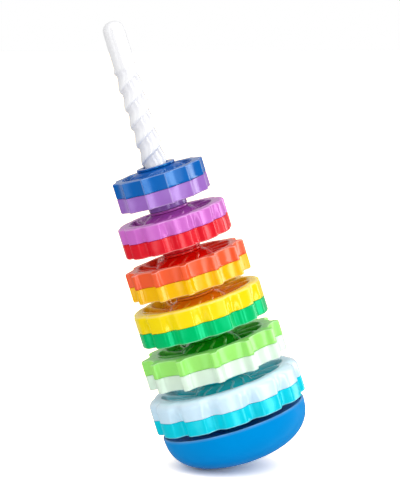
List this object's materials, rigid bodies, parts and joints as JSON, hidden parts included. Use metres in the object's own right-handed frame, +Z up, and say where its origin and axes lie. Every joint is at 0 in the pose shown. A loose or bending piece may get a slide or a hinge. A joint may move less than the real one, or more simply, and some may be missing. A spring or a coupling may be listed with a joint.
{
  "type": "gear stacking pyramid toy",
  "caption": "Stacking toy: toothed two-colour discs that spin down a corkscrew pole standing in a weighted, round-bottomed base that rocks.",
  "frame": {"origin": "centre of the flat foot under the base, on the pole's axis", "axes": "+Z up along the pole, +X to the picture's right, -Y toward the viewer"},
  "size_m": [0.1358, 0.1358, 0.401],
  "materials": {
    "base_azure": "glossy azure ABS",
    "cover_azure": "satin azure ABS",
    "ballast_iron": "plain cast iron",
    "lock_ring_steel": "spring steel",
    "pole_white": "glossy white ABS",
    "screw_steel": "plated steel",
    "gear_1_upper": "glossy ABS",
    "gear_1_lower": "glossy ABS",
    "gear_2_upper": "glossy ABS",
    "gear_2_lower": "glossy ABS",
    "gear_3_upper": "glossy ABS",
    "gear_3_lower": "glossy ABS",
    "gear_4_upper": "glossy ABS",
    "gear_4_lower": "glossy ABS",
    "gear_5_upper": "glossy ABS",
    "gear_5_lower": "glossy ABS",
    "gear_6_upper": "glossy ABS",
    "gear_6_lower": "glossy ABS",
    "follower_acetal": "natural acetal"
  },
  "bodies": {
    "base": {"base_bowl": "base_azure", "base_cover": "cover_azure", "ballast_weight": "ballast_iron", "ballast_lock_ring": "lock_ring_steel", "pole": "pole_white", "pole_screw_1": "screw_steel", "pole_screw_2": "screw_steel", "pole_screw_3": "screw_steel", "cover_screw_1": "screw_steel", "cover_screw_2": "screw_steel", "cover_screw_3": "screw_steel"},
    "gear_6_bush": {"gear_6_hub_bush": "gear_6_upper"},
    "gear_6": {"gear_6_top_shell": "gear_6_upper", "gear_6_bottom_shell": "gear_6_lower", "gear_6_thread_follower": "follower_acetal"},
    "gear_5_bush": {"gear_5_hub_bush": "gear_5_upper"},
    "gear_5": {"gear_5_top_shell": "gear_5_upper", "gear_5_bottom_shell": "gear_5_lower", "gear_5_thread_follower": "follower_acetal"},
    "gear_4_bush": {"gear_4_hub_bush": "gear_4_upper"},
    "gear_4": {"gear_4_top_shell": "gear_4_upper", "gear_4_bottom_shell": "gear_4_lower", "gear_4_thread_follower": "follower_acetal"},
    "gear_3_bush": {"gear_3_hub_bush": "gear_3_upper"},
    "gear_3": {"gear_3_top_shell": "gear_3_upper", "gear_3_bottom_shell": "gear_3_lower", "gear_3_thread_follower": "follower_acetal"},
    "gear_2_bush": {"gear_2_hub_bush": "gear_2_upper"},
    "gear_2": {"gear_2_top_shell": "gear_2_upper", "gear_2_bottom_shell": "gear_2_lower", "gear_2_thread_follower": "follower_acetal"},
    "gear_1_bush": {"gear_1_hub_bush": "gear_1_upper"},
    "gear_1": {"gear_1_top_shell": "gear_1_upper", "gear_1_bottom_shell": "gear_1_lower", "gear_1_thread_follower": "follower_acetal"}
  },
  "joints": [
    {"name": "gear_6_lift", "type": "slide", "parent": "base", "child": "gear_6_bush", "axis": [0, 0, 1], "range_m": [0, 0.3685]},
    {"name": "gear_6_spin", "type": "hinge", "parent": "gear_6_bush", "child": "gear_6", "pos_m": [0, 0, 0.0575], "axis": [0, 0, 1], "range_deg": [0, 4020.1]},
    {"name": "gear_5_lift", "type": "slide", "parent": "gear_6", "child": "gear_5_bush", "axis": [0, 0, 1], "range_m": [0, 0.3294]},
    {"name": "gear_5_spin", "type": "hinge", "parent": "gear_5_bush", "child": "gear_5", "pos_m": [0, 0, 0.0966], "axis": [0, 0, 1], "range_deg": [0, 3593.6]},
    {"name": "gear_4_lift", "type": "slide", "parent": "gear_5", "child": "gear_4_bush", "axis": [0, 0, 1], "range_m": [0, 0.2903]},
    {"name": "gear_4_spin", "type": "hinge", "parent": "gear_4_bush", "child": "gear_4", "pos_m": [0, 0, 0.1357], "axis": [0, 0, 1], "range_deg": [0, 3167.1]},
    {"name": "gear_3_lift", "type": "slide", "parent": "gear_4", "child": "gear_3_bush", "axis": [0, 0, 1], "range_m": [0, 0.2512]},
    {"name": "gear_3_spin", "type": "hinge", "parent": "gear_3_bush", "child": "gear_3", "pos_m": [0, 0, 0.1748], "axis": [0, 0, 1], "range_deg": [0, 2740.5]},
    {"name": "gear_2_lift", "type": "slide", "parent": "gear_3", "child": "gear_2_bush", "axis": [0, 0, 1], "range_m": [0, 0.2121]},
    {"name": "gear_2_spin", "type": "hinge", "parent": "gear_2_bush", "child": "gear_2", "pos_m": [0, 0, 0.2139], "axis": [0, 0, 1], "range_deg": [0, 2314]},
    {"name": "gear_1_lift", "type": "slide", "parent": "gear_2", "child": "gear_1_bush", "axis": [0, 0, 1], "range_m": [0, 0.173]},
    {"name": "gear_1_spin", "type": "hinge", "parent": "gear_1_bush", "child": "gear_1", "pos_m": [0, 0, 0.253], "axis": [0, 0, 1], "range_deg": [0, 1887.4]}
  ],
  "couplings": [
    {"joint": "gear_6_spin", "follows": "gear_6_lift", "rad_per_m": 190.4},
    {"joint": "gear_5_spin", "follows": "gear_5_lift", "rad_per_m": 190.4},
    {"joint": "gear_4_spin", "follows": "gear_4_lift", "rad_per_m": 190.4},
    {"joint": "gear_3_spin", "follows": "gear_3_lift", "rad_per_m": 190.4},
    {"joint": "gear_2_spin", "follows": "gear_2_lift", "rad_per_m": 190.4},
    {"joint": "gear_1_spin", "follows": "gear_1_lift", "rad_per_m": 190.4}
  ]
}
